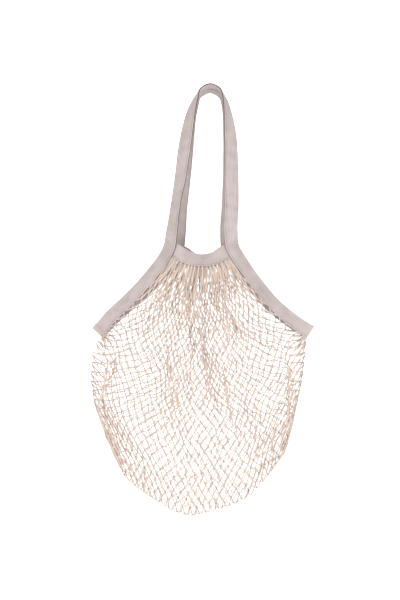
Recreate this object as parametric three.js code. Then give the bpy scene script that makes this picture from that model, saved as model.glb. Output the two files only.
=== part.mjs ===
// A string shopping bag hanging by its two long handles.
// Millimetres, +Z up, +X to the right and -Y towards the viewer of the front.
// The origin is the hang point: the underside of the two handles where they lie side by side at the top.
import * as THREE from "three";

// Tape: a knitted band folded double, used for the handles, the side bindings and the rims.
const tapeWidth = 25;
const tapeThickness = 2.8;
const tapeEdgeRound = 0.9;
const handleGap = 1; // from the middle plane to the edge of each handle at the hang point
const seamGap = 0.8; // between the long tape and the end of a rim band that lies behind it
const netEdgeGap = 0.5; // between the lower edge of a rim band and the net gathered under it
const bindingGap = 1.6; // between the lower edge of the long tape and the middle of the net wall

// Handles and mouth.
const handleDrop = 277; // hang point down to where the legs spread into the side bindings
const handleSpread = 108; // between the middle lines of the two legs at that height
const cornerDrop = 425; // hang point down to the corners of the mouth
const cornerSpread = 371; // between the outermost points of the tape at the two corners
const mouthDepth = 48; // between the middle lines of the front and back tapes
const rimDrop = 281; // hang point down to the ends of the rim bands
const rimSag = 15; // how far the middle of a rim band hangs below its ends
const rimTuck = 9; // how far a rim band runs behind the long tape
const rimLean = 28; // degrees that the lower edge of a rim band leans outwards
const rimOut = 1; // how far past the long tape's edge a rim band starts to bend
const topRows = 2; // rows next to the hang point, where the tape lies flat over it
const drawnIn = { left: 1.2, right: 0.5 }; // how much of backIn each leg of the back handle takes

// Net.
const netDrop = 747; // hang point down to the lowest point
const netWidth = 376; // widest stretch below the corners
const netDepth = 80; // fullest stretch, front to back
const netWall = 2;
const netBar = 5.5; // width of the bars between the gaps
const gapsAcross = 7; // in one panel
const gapRows = 9;
const boundRows = 4; // rows whose ends are bound in the tape before the panels join
const leastOpen = 0.3; // share of a cell's size that its gap keeps in the tightest cells
const mostOpen = 0.88; // and in the widest
const mitreLimit = 0.6; // least cosine that the wall's thickness is corrected for at a bend
const edgeRoundness = 2.6; // how squarely the net turns round its side seams
const edgeEasing = 0.2; // share of the panel's length over which a bend in its edge is spread in its middle

// Spacing of the sections: in millimetres along the long tape, and in sections per row along a rim band.
const tapeStep = 9;
const rimSteps = 4;

// Legs of a handle from the hang point down. drop is a share of handleDrop, left and right are shares of
// handleSpread, depth runs from the hang point's depth to the mouth's, and the turns are degrees that the
// inner edge of the tape is turned outwards. backIn draws the back handle in, as a share of handleSpread.
const legRows = [
  { drop: 0.023, left: -0.166, right: 0.17, depth: 0.0, leftTurn: 84, rightTurn: 84, backIn: 0 },
  { drop: 0.071, left: -0.228, right: 0.233, depth: 0.03, leftTurn: 69, rightTurn: 72, backIn: 0 },
  { drop: 0.158, left: -0.306, right: 0.285, depth: 0.12, leftTurn: 52, rightTurn: 57, backIn: 0.005 },
  { drop: 0.271, left: -0.366, right: 0.32, depth: 0.24, leftTurn: 36, rightTurn: 37, backIn: 0.015 },
  { drop: 0.397, left: -0.416, right: 0.339, depth: 0.35, leftTurn: 29, rightTurn: 25, backIn: 0.03 },
  { drop: 0.586, left: -0.481, right: 0.346, depth: 0.52, leftTurn: 38, rightTurn: 19, backIn: 0.05 },
  { drop: 0.742, left: -0.551, right: 0.344, depth: 0.66, leftTurn: 46, rightTurn: 12, backIn: 0.08 },
  { drop: 0.897, left: -0.608, right: 0.33, depth: 0.84, leftTurn: 38, rightTurn: 14, backIn: 0.1 },
  { drop: 1.0, left: -0.649, right: 0.353, depth: 0.94, leftTurn: 33, rightTurn: 18, backIn: 0.1 },
];

// Side bindings from the legs to the corners of the mouth. drop and out are shares of the way from the leg's
// end to the corner, and depth is a share of half the mouth's depth.
const leftBandRows = [
  { drop: 0.134, out: 0.074, depth: 1.0, turn: 31 },
  { drop: 0.431, out: 0.345, depth: 1.0, turn: 27 },
  { drop: 0.636, out: 0.582, depth: 0.93, turn: 25 },
  { drop: 0.828, out: 0.815, depth: 0.72, turn: 18 },
  { drop: 0.965, out: 0.955, depth: 0.38, turn: 6 },
];
const rightBandRows = [
  { drop: 0.111, out: 0.062, depth: 1.0, turn: 20 },
  { drop: 0.313, out: 0.208, depth: 1.0, turn: 24 },
  { drop: 0.453, out: 0.322, depth: 1.0, turn: 26 },
  { drop: 0.67, out: 0.524, depth: 0.93, turn: 25 },
  { drop: 0.826, out: 0.715, depth: 0.76, turn: 18 },
  { drop: 0.965, out: 0.93, depth: 0.4, turn: 6 },
];
const cornerShare = { left: -0.528, right: 0.472 }; // of cornerSpread, from the hang point

// Middle part of a rim band between the two legs: share of the way across, share of rimSag, share of half the
// mouth's depth, and how far its direction has turned from the leg's to the lean.
const rimRows = [
  { share: 0.2, sag: 0.55, depth: 0.96, turned: 0.6, leg: "left" },
  { share: 0.5, sag: 1, depth: 0.9, turned: 1, leg: "left" },
  { share: 0.8, sag: 0.6, depth: 0.96, turned: 0.6, leg: "right" },
];
const rimEndTurned = 0.15; // the same where the band comes out from behind the long tape

// Side seams of the net from the corners down: drop is a share of the height from the corners to the lowest
// point, left and right are shares of netWidth.
const seamRows = [
  { drop: 0.01, left: -0.516, right: 0.447 },
  { drop: 0.11, left: -0.545, right: 0.444 },
  { drop: 0.25, left: -0.555, right: 0.43 },
  { drop: 0.4, left: -0.537, right: 0.403 },
  { drop: 0.53, left: -0.49, right: 0.379 },
  { drop: 0.66, left: -0.452, right: 0.346 },
  { drop: 0.79, left: -0.395, right: 0.262 },
];

// Bottom seam from left to right: along is the share of the seam, x is a share of netWidth.
const bottomRows = [
  { along: 0.12, x: -0.335, drop: 0.85 },
  { along: 0.25, x: -0.262, drop: 0.905 },
  { along: 0.38, x: -0.185, drop: 0.965 },
  { along: 0.52, x: -0.094, drop: 1.0 },
  { along: 0.65, x: 0.0, drop: 0.975 },
  { along: 0.78, x: 0.088, drop: 0.945 },
  { along: 0.9, x: 0.182, drop: 0.895 },
];

// Depth of the middle of a panel: rim is the part of the rim band's own depth that is kept, and share is
// the part of half the net's depth that is added.
const fullnessRows = [
  { down: 0, rim: 1, share: 0 },
  { down: 0.12, rim: 0.7, share: 0.32 },
  { down: 0.3, rim: 0.25, share: 0.74 },
  { down: 0.45, rim: 0, share: 0.95 },
  { down: 0.62, rim: 0, share: 1 },
  { down: 0.78, rim: 0, share: 0.88 },
  { down: 0.9, rim: 0, share: 0.62 },
  { down: 0.96, rim: 0, share: 0.36 },
  { down: 1, rim: 0, share: 0 },
];

// Soft folds that run down the net from the rim and the corners: place across, width, start, end, height.
const foldRows = [
  { across: -0.82, width: 0.09, from: 0.4, to: 0.85, rise: 5 },
  { across: -0.05, width: 0.1, from: 0.05, to: 0.5, rise: 5 },
  { across: 0.3, width: 0.09, from: 0.45, to: 0.8, rise: 4 },
  { across: 0.8, width: 0.08, from: 0.4, to: 0.9, rise: 5 },
];

const FRONT = -1;
const BACK = 1;
const radians = THREE.MathUtils.degToRad;
const lerp = THREE.MathUtils.lerp;

// The value of a column between the rows of a table, in a straight line from row to row.
function tableValue(rows, at, from, column) {
  const last = rows.length - 1;
  if (at <= rows[0][from]) return rows[0][column];
  for (let i = 0; i < last; i++) {
    const [low, high] = [rows[i], rows[i + 1]];
    if (at > high[from]) continue;
    const share = (at - low[from]) / (high[from] - low[from]);
    return lerp(low[column], high[column], share);
  }
  return rows[last][column];
}

// One row of the long tape: its middle point and the direction across it, from outer to inner edge.
// inward is the direction in the plane of the panel, turned by an angle towards the outside of the bag.
function tapeStation(centre, inward, turn, side) {
  const across = inward.clone().multiplyScalar(Math.cos(radians(turn)));
  across.y = side * Math.sin(radians(turn));
  return { centre, across };
}

// The middle points and turns of the tape on one side of the bag, from the left corner over the hang point
// to the right corner.
function panelRows(side) {
  const half = mouthDepth / 2;
  const topDepth = tapeWidth / 2 + handleGap;
  const legs = { left: [], right: [] };
  const bands = { left: [], right: [] };
  for (const end of ["left", "right"]) {
    const sign = end === "left" ? -1 : 1;
    for (const row of legRows) {
      const pulledIn = side === BACK ? row.backIn * drawnIn[end] : 0;
      legs[end].push({
        x: (row[end] - sign * pulledIn) * handleSpread,
        z: -row.drop * handleDrop,
        y: lerp(topDepth, half, row.depth),
        turn: row[end + "Turn"],
      });
    }
    const start = legs[end][legs[end].length - 1];
    const cornerX = cornerShare[end] * cornerSpread;
    for (const row of end === "left" ? leftBandRows : rightBandRows)
      bands[end].push({
        x: lerp(start.x, cornerX, row.out),
        z: -lerp(handleDrop, cornerDrop, row.drop),
        y: half * row.depth,
        turn: row.turn,
      });
  }
  const top = { x: 0, z: tapeThickness / 2, y: topDepth, turn: 90 };
  return [
    ...bands.left.reverse(),
    ...legs.left.reverse(),
    top,
    ...legs.right,
    ...bands.right,
  ];
}

// The rows of one side of the tape as middle points with the direction across it.
function panelStations(side) {
  const rows = panelRows(side);
  return rows.map((row, i) => {
    const before = rows[Math.max(i - 1, 0)];
    const after = rows[Math.min(i + 1, rows.length - 1)];
    const along = new THREE.Vector3(after.x - before.x, 0, after.z - before.z).normalize();
    const inward = new THREE.Vector3(along.z, 0, -along.x);
    return tapeStation(new THREE.Vector3(row.x, side * row.y, row.z), inward, row.turn, side);
  });
}

// The outermost row of the tape at a corner of the mouth, where it turns from the front to the back.
function cornerStation(end, neighbour) {
  const centre = new THREE.Vector3(cornerShare[end] * cornerSpread, 0, -cornerDrop);
  return { centre, across: neighbour.across.clone().setY(0).normalize() };
}

// All rows of the closed tape: front from left to right, right corner, back from right to left, left corner.
// The marks name the first, top and last row of each side.
function tapeLoop() {
  const front = panelStations(FRONT);
  const back = panelStations(BACK).reverse();
  const rightCorner = cornerStation("right", front[front.length - 1]);
  const leftCorner = cornerStation("left", front[0]);
  const backFirst = front.length + 1;
  return {
    stations: [...front, rightCorner, ...back, leftCorner],
    marks: {
      [FRONT]: { first: 0, top: leftBandRows.length + legRows.length, last: front.length - 1 },
      [BACK]: {
        first: backFirst,
        top: backFirst + rightBandRows.length + legRows.length,
        last: backFirst + back.length - 1,
      },
    },
  };
}

const { stations, marks } = tapeLoop();
const middleLine = new THREE.CatmullRomCurve3(stations.map((s) => s.centre), true, "centripetal");
const acrossLine = new THREE.CatmullRomCurve3(stations.map((s) => s.across), true, "centripetal");

// The tape at a place along the loop, counted in rows: middle, directions along and across, and the
// direction of its inner face.
function tapeAt(row) {
  const share = (((row / stations.length) % 1) + 1) % 1;
  const centre = middleLine.getPoint(share);
  const along = middleLine.getTangent(share);
  const across = acrossLine.getPoint(share);
  across.addScaledVector(along, -across.dot(along)).normalize();
  const inner = new THREE.Vector3().crossVectors(along, across);
  return { centre, along, across, inner };
}

// The place along the loop between two rows where the tape's middle hangs at a given drop.
function rowAtDrop(drop, from, to) {
  let [low, high] = [from, to];
  for (let step = 0; step < 30; step++) {
    const middle = (low + high) / 2;
    const below = -tapeAt(middle).centre.z > drop;
    const startBelow = -tapeAt(low).centre.z > drop;
    if (below === startBelow) low = middle;
    else high = middle;
  }
  return (low + high) / 2;
}

// The outline of a cut through a tape, as offsets across it and through its thickness.
function tapeOutline() {
  const w = tapeWidth / 2;
  const t = tapeThickness / 2;
  const r = tapeEdgeRound;
  return [
    [-w, -t + r], [-w + r, -t], [w - r, -t], [w, -t + r],
    [w, t - r], [w - r, t], [-w + r, t], [-w, t - r],
  ];
}

// A solid band through a list of frames, each with a centre, a direction across and an inner direction.
function bandGeometry(frames, closed) {
  const outline = tapeOutline();
  const n = outline.length;
  const positions = [];
  for (const frame of frames)
    for (const [across, through] of outline)
      positions.push(
        ...frame.centre
          .clone()
          .addScaledVector(frame.across, across)
          .addScaledVector(frame.inner, through)
          .toArray(),
      );
  const faces = [];
  const spans = closed ? frames.length : frames.length - 1;
  for (let i = 0; i < spans; i++) {
    const next = (i + 1) % frames.length;
    for (let j = 0; j < n; j++) {
      const k = (j + 1) % n;
      const [a, b, c, d] = [i * n + j, i * n + k, next * n + k, next * n + j];
      faces.push(a, b, c, a, c, d);
    }
  }
  if (!closed) {
    const end = (frames.length - 1) * n;
    for (let j = 1; j < n - 1; j++) {
      faces.push(0, j + 1, j);
      faces.push(end, end + j, end + j + 1);
    }
  }
  const geometry = new THREE.BufferGeometry();
  geometry.setAttribute("position", new THREE.Float32BufferAttribute(positions, 3));
  geometry.setIndex(faces);
  geometry.computeVertexNormals();
  return geometry;
}

function strapLoopGeometry() {
  const frames = [];
  for (let i = 0; i < stations.length; i++) {
    const span = tapeAt(i).centre.distanceTo(tapeAt(i + 1).centre);
    const steps = Math.max(2, Math.round(span / tapeStep));
    for (let s = 0; s < steps; s++) frames.push(tapeAt(i + s / steps));
  }
  return bandGeometry(frames, true);
}

// The stretch of rows between a corner and the top of a handle, on one side and end of the bag. The tape
// rises along it at the front's left and the back's right, and falls along the other two.
function legStretch(side, end) {
  const mark = marks[side];
  const rising = (side === FRONT) === (end === "left");
  return rising
    ? { rising, from: mark.first, to: mark.top - topRows, corner: mark.first - 1 }
    : { rising, from: mark.top + topRows, to: mark.last, corner: mark.last + 1 };
}

// Where a rim band's ends lie behind the long tape, and the direction in which they leave it.
function rimEnd(side, end) {
  const stretch = legStretch(side, end);
  const tape = tapeAt(rowAtDrop(rimDrop, stretch.from, stretch.to));
  const through = tapeThickness + seamGap;
  const at = (reach) =>
    tape.centre.clone().addScaledVector(tape.across, reach).addScaledVector(tape.inner, through);
  const down = tape.along.clone().multiplyScalar(stretch.rising ? -1 : 1);
  return {
    tip: at(tapeWidth / 2 - rimTuck),
    edge: at(tapeWidth / 2 + rimOut),
    down,
  };
}

// Middle line and downward direction of a rim band, from its left end to its right end.
function rimCurves(side) {
  const ends = { left: rimEnd(side, "left"), right: rimEnd(side, "right") };
  const { left, right } = ends;
  const lean = new THREE.Vector3(0, side * Math.sin(radians(rimLean)), -Math.cos(radians(rimLean)));
  const rows = [
    { point: left.tip, down: left.down },
    { point: left.edge, down: left.down.clone().lerp(lean, rimEndTurned) },
    ...rimRows.map(({ share, sag, depth, turned, leg }) => {
      const point = left.edge.clone().lerp(right.edge, share);
      point.z -= rimSag * sag;
      point.y = side * (mouthDepth / 2) * depth;
      return { point, down: ends[leg].down.clone().lerp(lean, turned) };
    }),
    { point: right.edge, down: right.down.clone().lerp(lean, rimEndTurned) },
    { point: right.tip, down: right.down },
  ];
  return {
    middle: new THREE.CatmullRomCurve3(rows.map((r) => r.point), false, "centripetal"),
    down: new THREE.CatmullRomCurve3(rows.map((r) => r.down), false, "centripetal"),
    spans: rows.length - 1,
  };
}

function rimAt(curves, share) {
  const centre = curves.middle.getPoint(share);
  const along = curves.middle.getTangent(share);
  const across = curves.down.getPoint(share);
  across.addScaledVector(along, -across.dot(along)).normalize();
  const inner = new THREE.Vector3().crossVectors(along, across);
  return { centre, along, across, inner };
}

const rims = { [FRONT]: rimCurves(FRONT), [BACK]: rimCurves(BACK) };

function rimBandGeometry(side) {
  const curves = rims[side];
  const count = curves.spans * rimSteps;
  const frames = [];
  for (let i = 0; i <= count; i++) frames.push(rimAt(curves, i / count));
  return bandGeometry(frames, false);
}

// The edge of the net along the long tape at one side of a panel, from the rim (0) to the corner (1).
function boundEdge(side, end, share) {
  const stretch = legStretch(side, end);
  const start = rowAtDrop(rimDrop + tapeWidth / 2, stretch.from, stretch.to);
  const tape = tapeAt(lerp(start, stretch.corner, share));
  return tape.centre.addScaledVector(tape.across, tapeWidth / 2 + bindingGap);
}

// The top edge of a panel, gathered into the rim band between the two legs.
function gatheredEdge(side, share) {
  const curves = rims[side];
  const clear = 1 / curves.spans;
  const rim = rimAt(curves, lerp(clear, 1 - clear, share));
  return rim.centre.addScaledVector(rim.across, tapeWidth / 2 + netEdgeGap);
}

const netHeight = netDrop - cornerDrop;

function seamEdge(end, share) {
  const last = seamRows[seamRows.length - 1].drop;
  const drop = lerp(seamRows[0].drop, last, share);
  const x = tableValue(seamRows, drop, "drop", end) * netWidth;
  return new THREE.Vector3(x, 0, -cornerDrop - drop * netHeight);
}

const boundShare = boundRows / gapRows;
const halfRow = 0.5 / gapRows;

// Left or right edge of a panel, from the rim to the bottom: bound in the tape, then seamed to the other panel.
function sideEdge(side, end, down) {
  if (down <= boundShare) {
    const bound = boundEdge(side, end, down / boundShare);
    const start = gatheredEdge(side, end === "left" ? 0 : 1);
    return bound.lerp(start, Math.max(0, 1 - down / halfRow));
  }
  const share = (down - boundShare) / (1 - boundShare);
  const settle = Math.max(0, 1 - share * (gapRows - boundRows));
  return seamEdge(end, share).lerp(boundEdge(side, end, 1), settle * settle);
}

// The same edge as the net feels it further in, where a bend is spread over more rows.
function easedEdge(side, end, down, reach) {
  const spread = Math.min(reach, down, 1 - down);
  const sum = new THREE.Vector3();
  const samples = [-1, -0.5, 0, 0.5, 1];
  for (const offset of samples) sum.add(sideEdge(side, end, down + offset * spread));
  return sum.divideScalar(samples.length);
}

function bottomEdge(share) {
  const ends = [seamEdge("left", 1), seamEdge("right", 1)];
  const rows = [
    { along: 0, x: ends[0].x / netWidth, drop: (-ends[0].z - cornerDrop) / netHeight },
    ...bottomRows,
    { along: 1, x: ends[1].x / netWidth, drop: (-ends[1].z - cornerDrop) / netHeight },
  ];
  const x = tableValue(rows, share, "along", "x") * netWidth;
  const drop = tableValue(rows, share, "along", "drop");
  return new THREE.Vector3(x, 0, -cornerDrop - drop * netHeight);
}

// A point on a panel. across runs from 0 at the left to 1 at the right, down from 0 at the rim to 1 at the
// bottom. Seen from the front the surface spans its four edges. Its depth runs from the edges' to that of the
// full middle, with soft folds on it.
function netPoint(side, across, down) {
  const place = 2 * across - 1;
  const round = Math.sqrt(Math.max(0, 1 - Math.abs(place) ** edgeRoundness));
  const left = easedEdge(side, "left", down, edgeEasing * round);
  const right = easedEdge(side, "right", down, edgeEasing * round);
  const top = gatheredEdge(side, across);
  const point = new THREE.Vector3()
    .addScaledVector(left, 1 - across)
    .addScaledVector(right, across)
    .addScaledVector(top, 1 - down)
    .addScaledVector(bottomEdge(across), down)
    .addScaledVector(gatheredEdge(side, 0), -(1 - across) * (1 - down))
    .addScaledVector(gatheredEdge(side, 1), -across * (1 - down))
    .addScaledVector(bottomEdge(0), -(1 - across) * down)
    .addScaledVector(bottomEdge(1), -across * down);
  const edgeDepth = side * lerp(left.y, right.y, across);
  const fromRim = side * top.y * tableValue(fullnessRows, down, "down", "rim");
  let fullDepth = fromRim + (netDepth / 2) * tableValue(fullnessRows, down, "down", "share");
  for (const fold of foldRows) {
    const reach = (place - fold.across) / fold.width;
    const run = Math.max(0, (down - fold.from) * (fold.to - down)) / ((fold.to - fold.from) / 2) ** 2;
    fullDepth += fold.rise * run * Math.exp(-reach * reach);
  }
  point.y = side * lerp(edgeDepth, fullDepth, down === 0 ? 1 : round);
  return point;
}

// The net as one sheet of cells with a gap in each, counted in half steps across and down.
const columns = 2 * gapsAcross;
const lastColumn = 2 * columns;
const lastRow = 2 * gapRows;

function netSheet() {
  const points = [];
  const index = new Map();
  const faces = [];
  // Past a side seam or the bottom seam a cell goes on over the other panel.
  const wrap = (side, c, r) => {
    if (c < 0) return [-side, -c, r];
    if (c > lastColumn) return [-side, 2 * lastColumn - c, r];
    if (r > lastRow) return [-side, c, 2 * lastRow - r];
    return [side, c, r];
  };
  const place = (side, c, r) => {
    const [face, column, row] = wrap(side, c, r);
    return netPoint(face, column / lastColumn, row / lastRow);
  };
  const vertex = (side, c, r) => {
    const [face, column, row] = wrap(side, c, r);
    const edge = column === 0 || column === lastColumn;
    const joined = row === lastRow || (edge && row >= 2 * boundRows);
    const key = [joined ? 0 : face, column, row].join();
    if (!index.has(key)) {
      index.set(key, points.length);
      points.push(place(side, c, r));
    }
    return index.get(key);
  };
  const addFace = (side, ring) => faces.push(side === FRONT ? ring : [...ring].reverse());

  // A cell given by its corners in half steps, anticlockwise from the front, cut through or left whole.
  const addCell = (side, corners, open) => {
    const ring = [];
    corners.forEach(([c, r], i) => {
      const [nc, nr] = corners[(i + 1) % corners.length];
      const steps = Math.max(Math.abs(nc - c), Math.abs(nr - r));
      for (let s = 0; s < steps; s++)
        ring.push([c + ((nc - c) * s) / steps, r + ((nr - r) * s) / steps]);
    });
    const outer = ring.map(([c, r]) => vertex(side, c, r));
    const mid = [0, 1].map((axis) => ring.reduce((sum, p) => sum + p[axis], 0) / ring.length);
    if (!open) {
      const hub = points.length;
      points.push(place(side, ...mid));
      outer.forEach((a, i) => addFace(side, [a, outer[(i + 1) % outer.length], hub]));
      return;
    }
    const centre = place(side, ...mid);
    const spots = corners.map(([c, r]) => place(side, c, r));
    let area = 0;
    let around = 0;
    spots.forEach((a, i) => {
      const b = spots[(i + 1) % spots.length];
      const edge = b.clone().sub(a);
      around += edge.length();
      area += edge.cross(centre.clone().sub(a)).length() / 2;
    });
    const inset = (netBar * around) / (4 * area);
    const keep = THREE.MathUtils.clamp(1 - inset, leastOpen, mostOpen);
    const inner = ring.map(([c, r]) => {
      points.push(place(side, lerp(mid[0], c, keep), lerp(mid[1], r, keep)));
      return points.length - 1;
    });
    outer.forEach((a, i) => {
      const next = (i + 1) % outer.length;
      addFace(side, [a, outer[next], inner[next], inner[i]]);
    });
  };

  for (const side of [FRONT, BACK])
    for (let j = 0; j <= gapRows; j++)
      for (let i = j % 2; i <= columns; i += 2) {
        const [c, r] = [2 * i, 2 * j];
        const [up, down, left, right] = [[c, r - 2], [c, r + 2], [c - 2, r], [c + 2, r]];
        const atSide = i === 0 || i === columns;
        const folded = j === gapRows || (atSide && j > boundRows);
        if (folded && side === BACK) continue;
        if (j === 0) {
          const ends = [i === 0 ? [c, r] : left, i === columns ? [c, r] : right];
          addCell(side, [ends[0], down, ends[1]], false);
        } else if (atSide && !folded) {
          addCell(side, i === 0 ? [up, [c, r], down, right] : [up, left, down, [c, r]], true);
        } else addCell(side, [up, left, down, right], true);
      }
  return { points, faces };
}

// A closed solid from a sheet: an outer skin, an inner skin and a wall along every free edge.
function thickened({ points, faces }, wall) {
  const triangles = [];
  for (const ring of faces)
    for (let i = 1; i < ring.length - 1; i++) triangles.push([ring[0], ring[i], ring[i + 1]]);
  const normals = points.map(() => new THREE.Vector3());
  const faceNormals = triangles.map(([a, b, c]) => {
    const normal = points[b].clone().sub(points[a]).cross(points[c].clone().sub(points[a]));
    for (const v of [a, b, c]) normals[v].add(normal);
    return normal.normalize();
  });
  for (const normal of normals) normal.normalize();
  const least = points.map(() => 1);
  triangles.forEach((triangle, t) => {
    for (const v of triangle) least[v] = Math.min(least[v], normals[v].dot(faceNormals[t]));
  });
  const skin = (sign) =>
    points.map((p, v) =>
      p.clone().addScaledVector(normals[v], (sign * wall) / 2 / Math.max(mitreLimit, least[v])),
    );
  const positions = [...skin(1), ...skin(-1)].flatMap((p) => p.toArray());
  const count = points.length;
  const edges = new Set();
  for (const [a, b, c] of triangles)
    for (const [from, to] of [[a, b], [b, c], [c, a]]) edges.add(from + "," + to);
  const indices = [];
  for (const [a, b, c] of triangles) indices.push(a, b, c, a + count, c + count, b + count);
  for (const edge of edges) {
    const [from, to] = edge.split(",").map(Number);
    if (edges.has(to + "," + from)) continue;
    indices.push(to, from, from + count, to, from + count, to + count);
  }
  const geometry = new THREE.BufferGeometry();
  geometry.setAttribute("position", new THREE.Float32BufferAttribute(positions, 3));
  geometry.setIndex(indices);
  geometry.computeVertexNormals();
  return geometry;
}

// Materials and pieces.
function cotton(colour) {
  return new THREE.MeshStandardMaterial({ color: colour, roughness: 0.95, metalness: 0 });
}

const bag = new THREE.Group();

function addPiece(name, geometry, colour) {
  const mesh = new THREE.Mesh(geometry, cotton(colour));
  mesh.name = name;
  bag.add(mesh);
}

const tapeColour = "#cfc4c1";
const netColour = "#d9cabd";

addPiece("strap_loop", strapLoopGeometry(), tapeColour);
addPiece("front_rim_band", rimBandGeometry(FRONT), tapeColour);
addPiece("back_rim_band", rimBandGeometry(BACK), tapeColour);
addPiece("net_body", thickened(netSheet(), netWall), netColour);

export default bag;
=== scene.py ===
# %% [markdown]
# # A string shopping bag
# The bag is a net of cotton string, bound at its mouth by one long knitted tape that also makes the two
# handles. It hangs by both handles from one point, which is the origin. Everything is in metres, +Z up, and
# the front faces -Y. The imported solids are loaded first, so every piece below is placed in their frame.

# %% Load the frame
import math

import bpy
import numpy as np
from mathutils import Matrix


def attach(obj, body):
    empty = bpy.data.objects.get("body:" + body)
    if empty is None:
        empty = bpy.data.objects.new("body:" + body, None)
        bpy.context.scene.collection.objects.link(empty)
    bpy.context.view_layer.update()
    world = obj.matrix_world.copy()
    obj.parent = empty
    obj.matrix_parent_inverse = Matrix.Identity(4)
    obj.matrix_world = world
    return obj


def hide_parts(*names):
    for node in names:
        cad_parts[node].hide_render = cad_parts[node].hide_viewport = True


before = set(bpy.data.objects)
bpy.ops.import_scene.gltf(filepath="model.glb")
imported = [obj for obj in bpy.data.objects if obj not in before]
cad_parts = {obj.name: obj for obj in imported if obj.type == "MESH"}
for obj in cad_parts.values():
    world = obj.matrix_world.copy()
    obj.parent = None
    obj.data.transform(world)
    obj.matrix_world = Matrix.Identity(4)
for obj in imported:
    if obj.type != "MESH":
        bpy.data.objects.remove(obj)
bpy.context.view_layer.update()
MM = 0.001
FRONT, BACK = -1, 1

# %% [markdown]
# ## Camera, light and floor
# The camera stands level with the middle of the bag, a little over a metre in front of it, as in the
# photograph. Large soft lights and a pale room keep the shadows faint, and a sweep that rises behind the
# floor has no edge that could show.

# %% Camera
CAMERA_DISTANCE = 1.2
FRAME_HEIGHT = 1.05  # what the picture's height covers at the bag
SENSOR_HEIGHT = 24.0
camera_data = bpy.data.cameras.new("camera")
camera_data.sensor_fit = "VERTICAL"
camera_data.sensor_height = SENSOR_HEIGHT
camera_data.lens = SENSOR_HEIGHT * CAMERA_DISTANCE / FRAME_HEIGHT
camera = bpy.data.objects.new("camera", camera_data)
camera.location = (-0.0175, -CAMERA_DISTANCE, -0.369)
camera.rotation_euler = (math.radians(90), 0, 0)
bpy.context.scene.collection.objects.link(camera)
bpy.context.scene.camera = camera
bpy.context.scene.view_settings.view_transform = "Standard"
print("lens", round(camera_data.lens, 2), "mm")


# %% Lights
def area_light(name, location, aim, size, power, colour=(1, 1, 1)):
    """A square soft light at a place, turned so that its face looks at a point."""
    data = bpy.data.lights.new(name, "AREA")
    data.size = size
    data.energy = power
    data.color = colour
    light = bpy.data.objects.new(name, data)
    light.location = location
    direction = np.array(aim) - np.array(location)
    yaw = math.atan2(direction[0], -direction[1])
    pitch = math.atan2(math.hypot(direction[0], direction[1]), -direction[2])
    light.rotation_euler = (pitch, 0, yaw + math.pi)
    bpy.context.scene.collection.objects.link(light)
    return light


BAG_MIDDLE = (0, 0, -0.42)
area_light("key_light", (-1.3, -1.6, 0.7), BAG_MIDDLE, 1.2, 26, (1, 0.985, 0.97))
area_light("fill_light", (1.5, -1.4, 0.1), BAG_MIDDLE, 1.4, 18, (0.97, 0.985, 1))
area_light("front_fill", (0.2, -2.4, -0.2), BAG_MIDDLE, 1.6, 9)
world = bpy.data.worlds.new("pale_room")
bpy.context.scene.world = world
world.use_nodes = True
world.node_tree.nodes["Background"].inputs["Color"].default_value = (1, 1, 1, 1)
world.node_tree.nodes["Background"].inputs["Strength"].default_value = 0.5

# %% [markdown]
# ## Helpers for shapes
# A curve here is a list of rows with a smooth line through them, so it can be asked for a whole array of
# places at once. A swept shape is an array of closed rings, and one function turns any such array into a
# mesh with a UV map in metres: along the sweep and round the ring.


# %% Smooth curves
def spline(rows, places, closed=False):
    """Points of a smooth line through the rows, at places counted in rows, and its directions.

    Each stretch between two rows is a cubic whose end slopes come from the rows on either side, with the
    rows spaced by the square root of their distance so that the line never overshoots.
    """
    rows = np.asarray(rows, float)
    places = np.asarray(places, float)
    count = len(rows)
    if closed:
        low = np.floor(places).astype(int)
        at = places - low
        p0, p1, p2, p3 = (rows[(low + k) % count] for k in (-1, 0, 1, 2))
    else:
        low = np.clip(np.floor(places).astype(int), 0, count - 2)
        at = places - low
        padded = np.vstack([2 * rows[0] - rows[1], rows, 2 * rows[-1] - rows[-2]])
        p0, p1, p2, p3 = (padded[low + k] for k in (0, 1, 2, 3))
    pairs = ((p0, p1), (p1, p2), (p2, p3))
    gap = [np.sqrt(np.linalg.norm(b - a, axis=-1, keepdims=True)) + 1e-9 for a, b in pairs]
    slope1 = ((p1 - p0) / gap[0] - (p2 - p0) / (gap[0] + gap[1]) + (p2 - p1) / gap[1]) * gap[1]
    slope2 = ((p2 - p1) / gap[1] - (p3 - p1) / (gap[1] + gap[2]) + (p3 - p2) / gap[2]) * gap[1]
    c2 = 3 * (p2 - p1) - 2 * slope1 - slope2
    c3 = 2 * (p1 - p2) + slope1 + slope2
    at = at[..., None]
    points = p1 + at * (slope1 + at * (c2 + at * c3))
    along = slope1 + at * (2 * c2 + 3 * at * c3)
    return points, unit(along)


def unit(vectors):
    """Vectors divided by their lengths."""
    return vectors / (np.linalg.norm(vectors, axis=-1, keepdims=True) + 1e-12)


def dot(a, b):
    """Products of vectors, summed over their last axis and kept as a column."""
    return (a * b).sum(-1, keepdims=True)


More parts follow.
